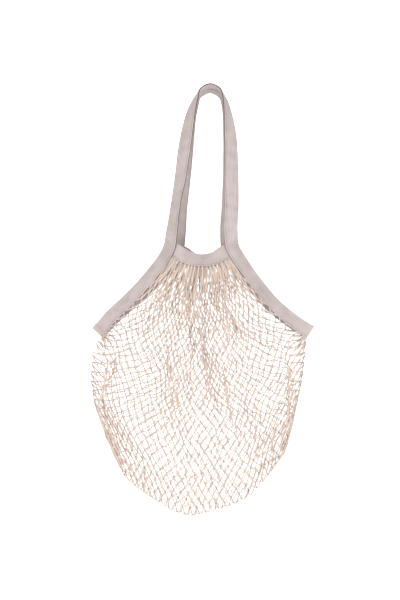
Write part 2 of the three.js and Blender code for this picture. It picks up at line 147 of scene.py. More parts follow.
# %% Swept meshes
def swept_mesh(name, rings, loop=False, ring_length=None):
    """An object made of closed rings.

    rings has the shape (sweeps, sections, points, 3). Neighbouring sections are joined by four-sided faces,
    and an open sweep gets a lid at each end. The UV map holds the distance along the sweep and round it.
    """
    sweeps, sections, around, _ = rings.shape
    index = np.arange(sweeps * sections * around).reshape(sweeps, sections, around)
    first = index if loop else index[:, :-1]
    second = np.roll(index, -1, axis=1) if loop else index[:, 1:]
    quads = np.stack([first, np.roll(first, -1, 2), np.roll(second, -1, 2), second], -1).reshape(-1, 4)
    step = np.linalg.norm(np.diff(rings, axis=1).mean(2), axis=-1)
    closing = np.linalg.norm((rings[:, :1] - rings[:, -1:]).mean(2), axis=-1)
    u_all = np.concatenate([np.zeros((sweeps, 1)), np.cumsum(np.concatenate([step, closing], 1), 1)], 1)
    if ring_length is None:
        edge = np.linalg.norm(np.roll(rings, -1, 2) - rings, axis=-1).mean((0, 1))
        ring_length = np.concatenate([[0], np.cumsum(edge)])
    u0 = u_all[:, : first.shape[1], None] + np.zeros((1, 1, around))
    u1 = u_all[:, 1 : first.shape[1] + 1, None] + np.zeros((1, 1, around))
    v0 = ring_length[:-1] + np.zeros_like(u0)
    v1 = ring_length[1:] + np.zeros_like(u0)
    corners_uv = ((u0, v0), (u0, v1), (u1, v1), (u1, v0))
    uv = np.stack([np.stack(pair, -1) for pair in corners_uv], -2)
    vertices = rings.reshape(-1, 3)
    a, b, c, d = (vertices[quads[:, k]] for k in range(4))
    middle = vertices.mean(0)
    volume = np.einsum("ij,ij->", a - middle, np.cross(b - middle, c - middle))
    volume += np.einsum("ij,ij->", a - middle, np.cross(c - middle, d - middle))
    uv = uv.reshape(-1, 4, 2)
    inside_out = volume < 0
    if inside_out:
        quads, uv = quads[:, ::-1], uv[:, ::-1]
    sizes = np.full(len(quads), 4)
    corners, uv = quads.reshape(-1), uv.reshape(-1, 2)
    if not loop:
        start, end = index[:, 0, ::-1], index[:, -1]
        if inside_out:
            start, end = start[:, ::-1], end[:, ::-1]
        lids = np.concatenate([start, end])
        corners = np.concatenate([corners, lids.reshape(-1)])
        sizes = np.concatenate([sizes, np.full(len(lids), around)])
        uv = np.concatenate([uv, np.zeros((lids.size, 2))])
    mesh = bpy.data.meshes.new(name)
    mesh.vertices.add(len(vertices))
    mesh.vertices.foreach_set("co", vertices.astype(np.float32).ravel())
    mesh.loops.add(len(corners))
    mesh.loops.foreach_set("vertex_index", corners.astype(np.int32))
    mesh.polygons.add(len(sizes))
    starts = np.concatenate([[0], np.cumsum(sizes)[:-1]])
    mesh.polygons.foreach_set("loop_start", starts.astype(np.int32))
    mesh.polygons.foreach_set("use_smooth", np.ones(len(sizes), bool))
    mesh.update(calc_edges=True)
    layer = mesh.uv_layers.new(name="UVMap")
    layer.data.foreach_set("uv", uv.astype(np.float32).ravel())
    mesh.validate()
    piece = bpy.data.objects.new(name, mesh)
    bpy.context.scene.collection.objects.link(piece)
    triangles = int((sizes - 2).sum())
    print(name, "has", len(vertices), "points and", triangles, "triangles")
    return piece


def tubes(paths, radius, sides, outwards):
    """Rings of round tubes along paths of the shape (sweeps, sections, 3).

    outwards is a direction for each path point; a ring starts there and turns round the path's direction.
    """
    along = unit(np.gradient(paths, axis=1))
    out = unit(outwards - along * dot(outwards, along))
    beside = np.cross(along, out)
    turn = np.linspace(0, 2 * np.pi, sides, endpoint=False)[:, None]
    ring = np.cos(turn) * out[..., None, :] + np.sin(turn) * beside[..., None, :]
    return paths[..., None, :] + np.asarray(radius)[..., None, None] * ring


# %% [markdown]
# ## The route of the long tape
# One tape goes all the way round: up the left side of the mouth as a binding, over the top as the front
# handle, down the right side, round the corner and back the same way behind. Its route is a table of rows,
# as shares of a few real sizes, with a turn for each row because the tape lies flat across the hang point,
# edge to edge with the other handle, and faces forward lower down.

# %% Sizes of the tape and the mouth
TAPE_WIDTH = 25 * MM
TAPE_THICKNESS = 2.8 * MM
HANDLE_GAP = 1 * MM
SEAM_GAP = 0.8 * MM
HANDLE_DROP = 277 * MM
HANDLE_SPREAD = 108 * MM
CORNER_DROP = 425 * MM
CORNER_SPREAD = 371 * MM
CORNER_SHARE = {"left": -0.528, "right": 0.472}
MOUTH_DEPTH = 48 * MM
RIM_DROP = 281 * MM
RIM_SAG = 15 * MM
RIM_TUCK = 9 * MM
RIM_LEAN = math.radians(28)
RIM_OUT = 1 * MM  # how far past the long tape's edge a rim band starts to bend
TOP_ROWS = 2  # rows next to the hang point, where the tape lies flat over it
DRAWN_IN = {"left": 1.2, "right": 0.5}  # how much of its drawing in each leg of the back handle takes

# drop, left, right, depth, left turn, right turn, back handle drawn in
LEG_ROWS = np.array([
    [0.023, -0.166, 0.170, 0.00, 84, 84, 0.000],
    [0.071, -0.228, 0.233, 0.03, 69, 72, 0.000],
    [0.158, -0.306, 0.285, 0.12, 52, 57, 0.005],
    [0.271, -0.366, 0.320, 0.24, 36, 37, 0.015],
    [0.397, -0.416, 0.339, 0.35, 29, 25, 0.030],
    [0.586, -0.481, 0.346, 0.52, 38, 19, 0.050],
    [0.742, -0.551, 0.344, 0.66, 46, 12, 0.080],
    [0.897, -0.608, 0.330, 0.84, 38, 14, 0.100],
    [1.000, -0.649, 0.353, 0.94, 33, 18, 0.100],
])
# drop, way out to the corner, depth, turn
BAND_ROWS = {
    "left": np.array([
        [0.134, 0.074, 1.00, 31],
        [0.431, 0.345, 1.00, 27],
        [0.636, 0.582, 0.93, 25],
        [0.828, 0.815, 0.72, 18],
        [0.965, 0.955, 0.38, 6],
    ]),
    "right": np.array([
        [0.111, 0.062, 1.00, 20],
        [0.313, 0.208, 1.00, 24],
        [0.453, 0.322, 1.00, 26],
        [0.670, 0.524, 0.93, 25],
        [0.826, 0.715, 0.76, 18],
        [0.965, 0.930, 0.40, 6],
    ]),
}


# %% Rows of one side
def panel_rows(side):
    """x, depth, z and turn of the tape's rows on one side, from the left corner over the top to the right."""
    top_depth = TAPE_WIDTH / 2 + HANDLE_GAP
    half = MOUTH_DEPTH / 2
    drop, left, right, depth, left_turn, right_turn, back_in = LEG_ROWS.T
    halves = {}
    for end, share, turn, sign in (("left", left, left_turn, -1), ("right", right, right_turn, 1)):
        drawn = back_in * DRAWN_IN[end] if side == BACK else 0 * back_in
        leg = np.stack([
            (share - sign * drawn) * HANDLE_SPREAD,
            top_depth + (half - top_depth) * depth,
            -drop * HANDLE_DROP,
            turn,
        ], -1)
        band = BAND_ROWS[end]
        corner_x = CORNER_SHARE[end] * CORNER_SPREAD
        binding = np.stack([
            leg[-1, 0] + (corner_x - leg[-1, 0]) * band[:, 1],
            half * band[:, 2],
            -(HANDLE_DROP + (CORNER_DROP - HANDLE_DROP) * band[:, 0]),
            band[:, 3],
        ], -1)
        halves[end] = np.vstack([leg, binding])
    top = np.array([[0, top_depth, TAPE_THICKNESS / 2, 90]])
    return np.vstack([halves["left"][::-1], top, halves["right"]])


def panel_stations(side):
    """Middle points and directions across the tape, from its outer to its inner edge, for one side."""
    rows = panel_rows(side)
    before = np.vstack([rows[:1], rows[:-1]])
    after = np.vstack([rows[1:], rows[-1:]])
    along = unit(np.stack([after[:, 0] - before[:, 0], 0 * rows[:, 0], after[:, 2] - before[:, 2]], -1))
    turn = np.radians(rows[:, 3])
    across = np.stack([along[:, 2] * np.cos(turn), side * np.sin(turn), -along[:, 0] * np.cos(turn)], -1)
    middle = np.stack([rows[:, 0], side * rows[:, 1], rows[:, 2]], -1)
    return middle, across


# %% The closed loop
def corner_station(end, across):
    """The outermost row at a corner of the mouth, where the tape turns from the front to the back."""
    flat = across * np.array([1, 0, 1])
    return np.array([CORNER_SHARE[end] * CORNER_SPREAD, 0, -CORNER_DROP]), unit(flat)


front_middle, front_across = panel_stations(FRONT)
back_middle, back_across = (part[::-1] for part in panel_stations(BACK))
right_corner = corner_station("right", front_across[-1])
left_corner = corner_station("left", front_across[0])
LOOP_MIDDLE = np.vstack([front_middle, right_corner[0], back_middle, left_corner[0]])
LOOP_ACROSS = np.vstack([front_across, right_corner[1], back_across, left_corner[1]])
LOOP_ROWS = len(LOOP_MIDDLE)
SIDE_ROWS = len(front_middle)
LEFT_ROWS = len(BAND_ROWS["left"]) + len(LEG_ROWS)
RIGHT_ROWS = len(BAND_ROWS["right"]) + len(LEG_ROWS)
print("tape loop has", LOOP_ROWS, "rows")


def tape_at(places):
    """Middle, directions along and across, and the direction of the inner face, at places counted in rows."""
    middle, along = spline(LOOP_MIDDLE, places, closed=True)
    across, _ = spline(LOOP_ACROSS, places, closed=True)
    across = unit(across - along * dot(across, along))
    return middle, along, across, np.cross(along, across)


def leg_stretch(side, end):
    """(places from the leg's top down to the corner, whether the tape rises there) on one side and end."""
    if side == FRONT:
        top = LEFT_ROWS
        return ((top - TOP_ROWS, -1), True) if end == "left" else ((top + TOP_ROWS, SIDE_ROWS), False)
    top = SIDE_ROWS + 1 + RIGHT_ROWS
    return ((top - TOP_ROWS, SIDE_ROWS), True) if end == "right" else ((top + TOP_ROWS, LOOP_ROWS - 1), False)


def place_at_drop(side, end, drop):
    """Where the tape's middle on a leg hangs at a given drop, read off a fine row of samples."""
    (start, stop), _ = leg_stretch(side, end)
    places = np.linspace(start, stop, 400)
    return float(np.interp(drop, -tape_at(places)[0][:, 2], places))


# %% [markdown]
# ## The knitted tape
# The tape is knitted in lengthwise ribs and folded double, so its outer edge is a fold and its inner edge
# shows two layers with a slit between them. A flat strip with a picture of knitting would do from afar, but
# the slit and the ribs catch the light at the edges, so one cut through the tape is swept along its route and
# they are in the mesh. The knit loops on each rib are too fine, and come later as bump and painted shade.

# %% Cut through the tape
RIBS = 10
RIB_HEIGHT = 0.3 * MM
SLIT_DEPTH = 1.6 * MM
POINTS_PER_RIB = 4


def tape_profile(width, thickness):
    """Offsets (across, through) round a cut through the tape.

    A face's height is half the thickness, less a small round at the edges, plus a cosine ripple for the ribs
    and a narrow dip where the seam runs. The inner edge has a slit between its two layers.
    """
    share = np.linspace(0, 1, RIBS * POINTS_PER_RIB + 1)[1:-1]
    across = (share - 0.5) * width
    edge = np.minimum(share, 1 - share) * width
    rounding = 1 - np.clip(1 - edge / (1.1 * MM), 0, 1) ** 2 * 0.55
    ripple = 0.5 - 0.5 * np.cos(2 * np.pi * RIBS * share)
    seam = np.exp(-(((width * (1 - share)) - 3.4 * MM) / (0.55 * MM)) ** 2)
    height = thickness / 2 * rounding - RIB_HEIGHT * (1 - ripple) - 0.35 * MM * seam
    upper = np.stack([across, height], -1)
    lower = np.stack([across, -height], -1)
    slit = np.array([
        [width * 0.5, thickness * 0.26],
        [width * 0.5 - 0.2 * MM, thickness * 0.15],
        [width * 0.5 - SLIT_DEPTH, 0.0],
        [width * 0.5 - 0.2 * MM, -thickness * 0.15],
        [width * 0.5, -thickness * 0.26],
    ])
    fold = np.array([
        [-width * 0.5 + 0.1 * MM, -thickness * 0.22],
        [-width * 0.5, 0.0],
        [-width * 0.5 + 0.1 * MM, thickness * 0.22],
    ])
    return np.vstack([upper, slit, lower[::-1], fold])


def profile_reach(profile, width):
    """For each point of a cut, its distance from the fold, counted on past the open edge inside the slit."""
    reach = profile[:, 0] + width / 2
    deep = (np.abs(profile[:, 1]) < 0.3 * MM) & (profile[:, 0] > 0)
    reach = np.where(deep, width + SLIT_DEPTH, reach)
    return np.append(reach, reach[0])


PROFILE = tape_profile(TAPE_WIDTH, TAPE_THICKNESS)
PROFILE_REACH = profile_reach(PROFILE, TAPE_WIDTH)
print("profile has", len(PROFILE), "points")


def smooth_noise(places, seed, octaves=((1.0, 1.0), (2.3, 0.5), (5.1, 0.25))):
    """A gentle repeatable wobble: sines of rising pitch with phases from a seeded generator."""
    phases = np.random.default_rng(seed).uniform(0, 2 * np.pi, len(octaves))
    return sum(w * np.sin(p * places + f) for (p, w), f in zip(octaves, phases)) / 1.75


def band_rings(middle, across, inner, profile, wobble_seed, length):
    """Rings of a tape: the cut's offsets laid across and through at each middle point, with a faint wave."""
    wave = 0.35 * MM * smooth_noise(length / 0.03, wobble_seed)
    pinch = 1 + 0.012 * smooth_noise(length / 0.021, wobble_seed + 1)
    offsets = profile[None, :, :] * np.stack([pinch, np.ones_like(pinch)], -1)[:, None, :]
    rings = middle[:, None, :] + offsets[..., :1] * across[:, None, :] + offsets[..., 1:] * inner[:, None, :]
    return rings + (wave[:, None] * inner)[:, None, :]


def even_places(rows, closed, spacing):
    """Places along a curve that lie a fixed distance apart, and the distance run at each."""
    count = len(rows) if closed else len(rows) - 1
    fine = np.linspace(0, count, count * 60 + 1)
    points, _ = spline(rows, fine, closed)
    run = np.concatenate([[0], np.cumsum(np.linalg.norm(np.diff(points, axis=0), axis=1))])
    pieces = int(round(run[-1] / spacing))
    wanted = np.linspace(0, run[-1], pieces + 1)
    if closed:
        wanted = wanted[:-1]
    return np.interp(wanted, run, fine), wanted


# %% The long tape
SECTION_SPACING = 3.2 * MM
loop_places, loop_run = even_places(LOOP_MIDDLE, True, SECTION_SPACING)
middle, along, across, inner = tape_at(loop_places)
LOOP_LENGTH = loop_run[-1] + SECTION_SPACING
wobble_run = loop_run / LOOP_LENGTH * round(LOOP_LENGTH / 0.19) * 0.19
strap_loop = swept_mesh(
    "strap_tape",
    band_rings(middle, across, inner, PROFILE, 3, wobble_run)[None],
    loop=True,
    ring_length=PROFILE_REACH,
)
print("tape loop is", round(LOOP_LENGTH * 1000), "mm long")


# %% [markdown]
# ## The seam and the lapped corner
# A line of stitches closes the folded tape near its open edge, so it shows on both faces. It is one thread
# that dips in and out of the knit. At the left corner the two ends of the long tape lap, and a short doubled
# piece covers the join.

# %% Stitches
STITCH_LENGTH = 3.2 * MM
THREAD_RADIUS = 0.32 * MM
SEAM_INSET = 3.4 * MM


def stitched(middle, across, inner, run, face):
    """A thread's path along a tape: a fixed inset from its open edge, with a height that is a cosine."""
    dip = np.cos(2 * np.pi * run / STITCH_LENGTH)
    height = TAPE_THICKNESS / 2 - 0.42 * MM + 0.38 * MM * dip
    return middle + across * (TAPE_WIDTH / 2 - SEAM_INSET) + inner * (face * height)[:, None]


stitch_places, stitch_run = even_places(LOOP_MIDDLE, True, STITCH_LENGTH / 4)
middle, along, across, inner = tape_at(stitch_places)
threads = np.stack([stitched(middle, across, inner, stitch_run, face) for face in (-1, 1)])
outwards = np.stack([-inner, inner])
seam_thread = swept_mesh(
    "seam_thread",
    tubes(threads, np.full(threads.shape[:2], THREAD_RADIUS), 5, outwards),
    loop=True,
)

# %% Lapped corner
LAP_REACH = 14 * MM
LAP_THICKNESS = 1.0 * MM


def run_at(place):
    """The distance run along the loop at a place counted in rows."""
    return float(np.interp(place, loop_places, loop_run))


corner_run = run_at(LOOP_ROWS - 1)
lap_run = np.linspace(-LAP_REACH, LAP_REACH, 23)
lap_places = np.interp(
    (corner_run + lap_run) % LOOP_LENGTH,
    np.append(loop_run, LOOP_LENGTH),
    np.append(loop_places, LOOP_ROWS),
)
middle, along, across, inner = tape_at(lap_places)
lap_profile = tape_profile(TAPE_WIDTH + 0.8 * MM, TAPE_THICKNESS + 2 * LAP_THICKNESS)
edge_share = np.clip((LAP_REACH - np.abs(lap_run)) / (1.3 * MM), 0, 1)
through = TAPE_THICKNESS / 2 + LAP_THICKNESS
lap_height = 1 - (1 - edge_share) ** 2 * LAP_THICKNESS / through
lap_rings = (
    middle[:, None, :]
    + lap_profile[None, :, :1] * across[:, None, :]
    + (lap_profile[None, :, 1] * lap_height[:, None])[..., None] * inner[:, None, :]
)
lap_reach = profile_reach(lap_profile, TAPE_WIDTH)
corner_lap = swept_mesh("corner_lap", lap_rings[None], ring_length=lap_reach)


# %% [markdown]
# ## The rim bands
# Between the legs of each handle a short piece of the same tape closes the loop of the mouth. It hangs in a
# slack curve, its lower edge leans outwards where the net pulls on it, and its ends run behind the long tape.


# %% Rim band curves
# share of the way across, share of the sag, share of half the mouth's depth
RIM_ROWS = ((0.24, 0.72, 0.96), (0.5, 1, 0.9), (0.78, 0.74, 0.96))


def rim_end(side, end):
    """A rim band's tip behind the long tape, the point where it comes out, and its downward direction."""
    place = place_at_drop(side, end, RIM_DROP)
    middle, along, across, inner = (part[0] for part in tape_at(np.array([place])))
    through = (TAPE_THICKNESS + SEAM_GAP) * inner
    rising = leg_stretch(side, end)[1]
    down = along * (-1 if rising else 1)
    tip = middle + across * (TAPE_WIDTH / 2 - RIM_TUCK) + through
    edge = middle + across * (TAPE_WIDTH / 2 + RIM_OUT) + through
    return tip, edge, down


def rim_rows(side):
    """Middle points and downward directions of a rim band from left to right."""
    left_tip, left, left_down = rim_end(side, "left")
    right_tip, right, right_down = rim_end(side, "right")

    def between(share, sag, depth):
        point = left + (right - left) * share
        return np.array([point[0], side * MOUTH_DEPTH / 2 * depth, point[2] - RIM_SAG * sag])

    lean = np.array([0, side * math.sin(RIM_LEAN), -math.cos(RIM_LEAN)])
    middle = [between(*row) for row in RIM_ROWS]
    points = [left_tip, left, *middle, right, right_tip]
    downs = [
        left_down, 0.85 * left_down + 0.15 * lean, 0.4 * left_down + 0.6 * lean, lean,
        0.4 * right_down + 0.6 * lean, 0.85 * right_down + 0.15 * lean, right_down,
    ]
    return np.array(points), np.array(downs)


def rim_at(side, places):
    """Middle, down and inner directions of a rim band at places counted in rows."""
    points, downs = rim_rows(side)
    middle, along = spline(points, places)
    down, _ = spline(downs, places)
    down = unit(down - along * dot(down, along))
    return middle, down, np.cross(along, down)


# %% Rim bands
rim_bands = []
for side, name in ((FRONT, "front_rim_tape"), (BACK, "back_rim_tape")):
    places, run = even_places(rim_rows(side)[0], False, SECTION_SPACING)
    middle, down, inner = rim_at(side, places)
    gather = 0.5 * MM * np.sin(run / (5.8 * MM) * 2 * np.pi)
    rings = band_rings(middle, down, inner, PROFILE, 11 + side, run)
    low = np.clip(PROFILE[:, 0] / (TAPE_WIDTH / 2), 0, 1)
    rings += gather[:, None, None] * low[None, :, None] ** 3 * inner[:, None, :]
    rim_bands.append(swept_mesh(name, rings[None], ring_length=PROFILE_REACH))

# %% [markdown]
# ## The net's surface
# Each panel of the net is one sheet of meshes. Its top edge is gathered into the rim band, the upper part of
# its sides is bound in the long tape, and below the corners the two panels are joined at the sides and along
# the bottom. The sheet is worked out as a surface that spans those four edges seen from the front, and its
# depth swells from the edges to the middle.

# %% Sizes and tables of the net
NET_DROP = 747 * MM
NET_WIDTH = 376 * MM
NET_DEPTH = 80 * MM
MESHES_ACROSS = 32
MESHES_DOWN = 21
BOUND_SHARE = 4 / 9
NET_HEIGHT = NET_DROP - CORNER_DROP
SUNK = 2.5 * MM  # how far the string runs into the slit of the tape
# drop below the corners, left, right
SEAM_ROWS = np.array([
    [0.010, -0.516, 0.447],
    [0.110, -0.545, 0.444],
    [0.250, -0.555, 0.430],
    [0.400, -0.537, 0.403],
    [0.530, -0.490, 0.379],
    [0.600, -0.470, 0.361],
])
# x, drop below the corners
BOTTOM_ROWS = np.array([
    [-0.470, 0.600],
    [-0.452, 0.660],
    [-0.395, 0.790],
    [-0.335, 0.850],
    [-0.262, 0.905],
    [-0.185, 0.965],
    [-0.094, 1.000],
    [0.000, 0.975],
    [0.088, 0.945],
    [0.182, 0.895],
    [0.262, 0.790],
    [0.346, 0.660],
    [0.361, 0.600],
])
# way down, part of the rim's depth kept, part of half the net's depth added
FULLNESS_ROWS = np.array([
    [0.00, 1.00, 0.00],
    [0.12, 0.70, 0.32],
    [0.30, 0.25, 0.74],
    [0.45, 0.00, 0.95],
    [0.62, 0.00, 1.00],
    [0.78, 0.00, 0.88],
    [0.90, 0.00, 0.62],
    [0.96, 0.00, 0.36],
    [1.00, 0.00, 0.00],
])
EDGE_ROUNDNESS = 2.6
EDGE_EASING = 0.2


def column(rows, at, which):
    """A table's column between its rows."""
    return np.interp(at, rows[:, 0], rows[:, which])


# %% Edges of a panel
FINE = np.linspace(0, 1, 361)


def gathered_edge(side, share):
    """The top edge, just inside the lower edge of the rim band where it comes out from the long tape."""
    spans = len(rim_rows(side)[0]) - 1
    middle, down, _ = rim_at(side, 1 + (spans - 2) * np.asarray(share, float))
    return middle + down * (TAPE_WIDTH / 2 - SUNK)


def side_edge(side, end):
    """The left or right edge at the fine steps: in the tape's slit down to the corner, then the side seam."""
    start = place_at_drop(side, end, RIM_DROP + TAPE_WIDTH / 2)
    corner = leg_stretch(side, end)[0][1]
    bound = np.clip(FINE / BOUND_SHARE, 0, 1)
    middle, _, across, _ = tape_at(start + (corner - start) * bound)
    taped = middle + across * (TAPE_WIDTH / 2 - SUNK)
    top = gathered_edge(side, [0.0 if end == "left" else 1.0])
    taped += (top - taped) * np.clip(1 - FINE * 18, 0, 1)[:, None]
    below = np.clip((FINE - BOUND_SHARE) / (1 - BOUND_SHARE), 0, 1)
    drop = SEAM_ROWS[0, 0] + (SEAM_ROWS[-1, 0] - SEAM_ROWS[0, 0]) * below
    x = column(SEAM_ROWS, drop, 1 if end == "left" else 2) * NET_WIDTH
    seam = np.stack([x, 0 * x, -CORNER_DROP - drop * NET_HEIGHT], -1)
    settle = np.clip(1 - below * 5, 0, 1)[:, None] ** 2
    seam += (taped[-1] - seam) * settle
    return np.where((FINE <= BOUND_SHARE)[:, None], taped, seam)


BOTTOM_LINE = BOTTOM_ROWS * np.array([NET_WIDTH, NET_HEIGHT])
BOTTOM_RUN = np.append(0, np.cumsum(np.linalg.norm(np.diff(BOTTOM_LINE, axis=0), axis=1)))
print("bottom seam is", round(BOTTOM_RUN[-1] * 1000), "mm long")


def bottom_edge(share):
    """The bottom seam from left to right, at shares of its length."""
    x, drop = (np.interp(np.asarray(share) * BOTTOM_RUN[-1], BOTTOM_RUN, BOTTOM_LINE[:, k]) for k in (0, 1))
    return np.stack([x, 0 * x, -CORNER_DROP - drop], -1)


# %% The surface
# way across where it starts and ends, width, start, end, strength of the bunching, rise in mm
FOLDS = {
    FRONT: np.array([
        [0.520, 0.520, 0.400, 0.00, 0.75, 0.38, 0.0],
        [0.060, 0.056, 0.050, 0.42, 0.99, 0.95, 4.0],
        [0.220, 0.200, 0.100, 0.38, 0.95, -0.35, 0.0],
        [0.470, 0.550, 0.045, 0.04, 0.60, 0.90, 5.0],
        [0.640, 0.660, 0.045, 0.42, 0.78, 0.55, 4.0],
        [0.810, 0.820, 0.080, 0.38, 0.90, -0.30, 0.0],
        [0.912, 0.930, 0.040, 0.42, 0.96, 0.95, 4.0],
        [0.966, 0.966, 0.024, 0.42, 0.98, 0.80, 3.0],
        [0.340, 0.350, 0.080, 0.05, 0.60, 0.30, 3.0],
        [0.720, 0.700, 0.080, 0.05, 0.60, 0.30, 3.0],
    ]),
    BACK: np.array([
        [0.500, 0.500, 0.400, 0.00, 0.75, 0.38, 0.0],
        [0.058, 0.056, 0.046, 0.42, 0.99, 0.95, 4.0],
        [0.300, 0.280, 0.080, 0.05, 0.70, 0.25, 3.0],
        [0.400, 0.440, 0.050, 0.05, 0.60, 0.55, 4.0],
        [0.580, 0.600, 0.060, 0.35, 0.90, 0.35, 4.0],
        [0.780, 0.760, 0.080, 0.10, 0.70, 0.25, 3.0],
        [0.940, 0.944, 0.046, 0.42, 0.98, 0.95, 4.0],
    ]),
}
TEETH = 17  # bunches of string under a rim band
TEETH_REACH = 0.075  # how far down the panel they can be told apart


def fold_window(down, start, end):
    """0 outside a stretch, 1 at its middle, with a round top."""
    return np.clip((down - start) * (end - down), 0, None) / ((end - start) / 2) ** 2


def net_points(side, across, down):
    """Points of a panel for arrays of places across and down, both from 0 to 1.

    Seen from the front, the sum of the blends between opposite edges less the blend of the four corners.
    Folds draw the places across towards a line, and lift the sheet there.
    """
    pull = np.zeros_like(across)
    rise = np.zeros_like(across)
    for first, last, width, start, end, strength, height in FOLDS[side]:
        at = first + (last - first) * np.clip((down - start) / (end - start), 0, 1)
        near = (across - at) / width
        window = fold_window(down, start, end)
        pull -= strength * window * (across - at) * np.exp(-near * near)
        rise += height * MM * window * np.exp(-near * near)
    slow = sum(
        np.sin(2 * np.pi * (across * p + down * q) + f)
        for p, q, f in ((1.3, 2.1, 0.4 * side), (3.2, -1.7, 2.1), (-2.3, 4.4, 4.0 + side))
    )
    pull += 0.007 * slow
    teeth = 2 * np.pi * TEETH * across
    tooth_fade = np.clip(1 - down / TEETH_REACH, 0, 1)
    pull -= 0.8 * tooth_fade * np.sin(teeth) / (2 * np.pi * TEETH)
    rise += 2.4 * MM * np.clip(1 - down / (3 * TEETH_REACH), 0, 1) * np.cos(teeth)
    across = across + pull * np.clip(across * (1 - across) * 30, 0, 1)
    place = 2 * across - 1
    rounded = np.sqrt(np.clip(1 - np.abs(place) ** EDGE_ROUNDNESS, 0, 1))
    spread = np.minimum(np.minimum(EDGE_EASING * rounded, down), 1 - down)
    edges = {}
    for end in ("left", "right"):
        samples = side_edge(side, end)
        total = 0
        for offset in (-1, -0.5, 0, 0.5, 1):
            at = down + offset * spread
            total = total + np.stack([np.interp(at, FINE, samples[:, k]) for k in range(3)], -1)
        edges[end] = total / 5
    a, d = across[..., None], down[..., None]
    top, bottom = gathered_edge(side, across), bottom_edge(across)
    t0, t1 = gathered_edge(side, [0.0, 1.0])
    b0, b1 = bottom_edge(np.array([0.0, 1.0]))
    points = (
        edges["left"] * (1 - a) + edges["right"] * a + top * (1 - d) + bottom * d
        - t0 * (1 - a) * (1 - d) - t1 * a * (1 - d) - b0 * (1 - a) * d - b1 * a * d
    )
    edge_depth = side * (edges["left"][..., 1] * (1 - across) + edges["right"][..., 1] * across)
    full = side * top[..., 1] * column(FULLNESS_ROWS, down, 1)
    full = full + NET_DEPTH / 2 * column(FULLNESS_ROWS, down, 2) + rise
    mix = np.where(down == 0, 1, rounded)
    points[..., 1] = side * (edge_depth + (full - edge_depth) * mix)
    return points


# %% [markdown]
# ## The string
# The net is knotless: each string zigzags from top to bottom between two columns, and where two strings meet
# they run side by side for a few millimetres, held together by the knitting. So the whole net is one family
# of zigzag tubes. A wireframe of a grid would give straight bars of one shape with sharp corners, so here
# each string is a curve of its own. The joints come from the surface, each moved a little so that no two meshes
# are alike, and a smooth curve runs through them. Front and back are separate pieces that meet at the seams.

# %% Zigzag strings
JITTER = np.array([1.0, 1.6, 1.5]) * MM  # how far a joint strays sideways, in depth and in height
EDGE_LOOP = 2.2  # how much longer the loops along a side seam are than the others
TIP_WIDTH = 2.8  # how much wider the loops along the bottom start
STRING_THICKNESS = 2.15 * MM
STRING_SIDES = 6
SAMPLES_PER_POINT = 2
JOINT_SHARE = 0.14  # of a half mesh, above and below a joint, where two strings run side by side


def net_nodes(side):
    """The joint points of a panel, one for each half mesh across and down."""
    columns, rows = 2 * MESHES_ACROSS, 2 * MESHES_DOWN
    across, down = np.meshgrid(np.linspace(0, 1, columns + 1), np.linspace(0, 1, rows + 1))
    nodes = net_points(side, across, down)
    noise = np.random.default_rng(40 + side)
    jitter = np.clip(noise.normal(0, 1, nodes.shape), -2, 2) * JITTER
    free = np.clip(np.minimum(down * 14, 1), 0, 1) * np.clip(np.minimum(across, 1 - across) * 20, 0, 1)
    free = free * np.clip((1 - down) * 14, 0, 1)
    return nodes + jitter * free[..., None]


def string_paths(side, nodes):
    """Paths of the zigzag strings.

    String k swings between columns k and k + 1. At each row it has two points, just above and just below the
    joint, moved half a string's thickness towards its own side of the joint.
    """
    rows, columns = nodes.shape[0], nodes.shape[1]
    k = np.arange(columns - 1)[:, None]
    j = np.arange(rows)[None, :]
    on_left = (k + j) % 2 == 1
    i = np.where(on_left, k, k + 1)
    joint = nodes[j, i]
    other = nodes[j, np.where(on_left, k + 1, k)]
    beside = unit(other - joint) * (STRING_THICKNESS * 0.46)
    above = nodes[np.clip(j - 1, 0, None), i]
    below = nodes[np.clip(j + 1, None, rows - 1), i]
    sway = (below - above) * JOINT_SHARE * 0.5
    outer = np.isin(i, (0, nodes.shape[1] - 1)) & (j > rows * BOUND_SHARE)
    sway = np.where(outer[..., None], sway * EDGE_LOOP, sway)
    pairs = np.stack([joint + beside - sway, joint + beside + sway], 2)
    pairs[:, -1, 0] = (joint + beside * TIP_WIDTH - sway)[:, -1]
    pairs[:, -1, 1] = joint[:, -1]
    points = pairs.reshape(columns - 1, rows * 2, 3)[:, 1:]
    steps = np.linspace(0, points.shape[1] - 1, (points.shape[1] - 1) * SAMPLES_PER_POINT + 1)
    paths = np.stack([spline(line, steps)[0] for line in points])
    return paths


net_pieces = []
for side, name in ((FRONT, "net_front"), (BACK, "net_back")):
    nodes = net_nodes(side)
    paths = string_paths(side, nodes)
    outwards = np.zeros_like(paths) + np.array([0.05, side, 0.02])
    radius = np.full(paths.shape[:2], STRING_THICKNESS / 2)
    net_pieces.append(swept_mesh(name, tubes(paths, radius, STRING_SIDES, outwards)))
    lengths = np.linalg.norm(np.diff(paths, axis=1), axis=-1).sum(1)
    print(name, "holds", round(float(lengths.sum()), 1), "m of string")
